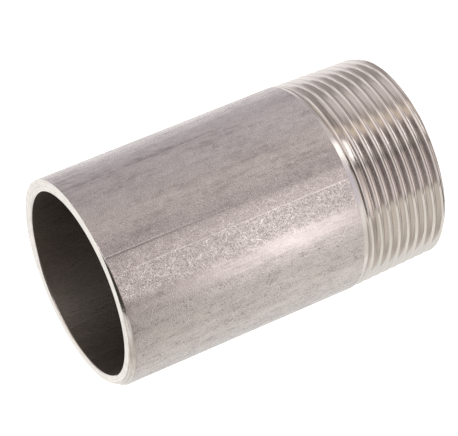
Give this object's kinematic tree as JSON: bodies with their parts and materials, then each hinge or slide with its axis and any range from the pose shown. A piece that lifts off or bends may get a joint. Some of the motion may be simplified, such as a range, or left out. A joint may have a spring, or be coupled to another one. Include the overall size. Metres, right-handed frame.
{
  "type": "pipe nipple",
  "caption": "Steel weld nipple: short welded-seam pipe with a right-hand taper pipe thread on one end and a shallow weld bevel on the other.",
  "frame": {"origin": "centre of the threaded end's face, which is also the bottom centre of the bounding box", "axes": "+Z along the pipe's axis from the threaded end to the weld end; -Y towards the longitudinal weld seam; +X makes the frame right-handed"},
  "size_m": [0.0482, 0.0482, 0.08],
  "materials": {
    "pipe_steel": "mill finish with fine scratches; thread and ends freshly turned",
    "weld_metal": "dressed flush with the pipe"
  },
  "bodies": {
    "root": {"pipe_wall": "pipe_steel", "seam_weld": "weld_metal"}
  },
  "joints": []
}
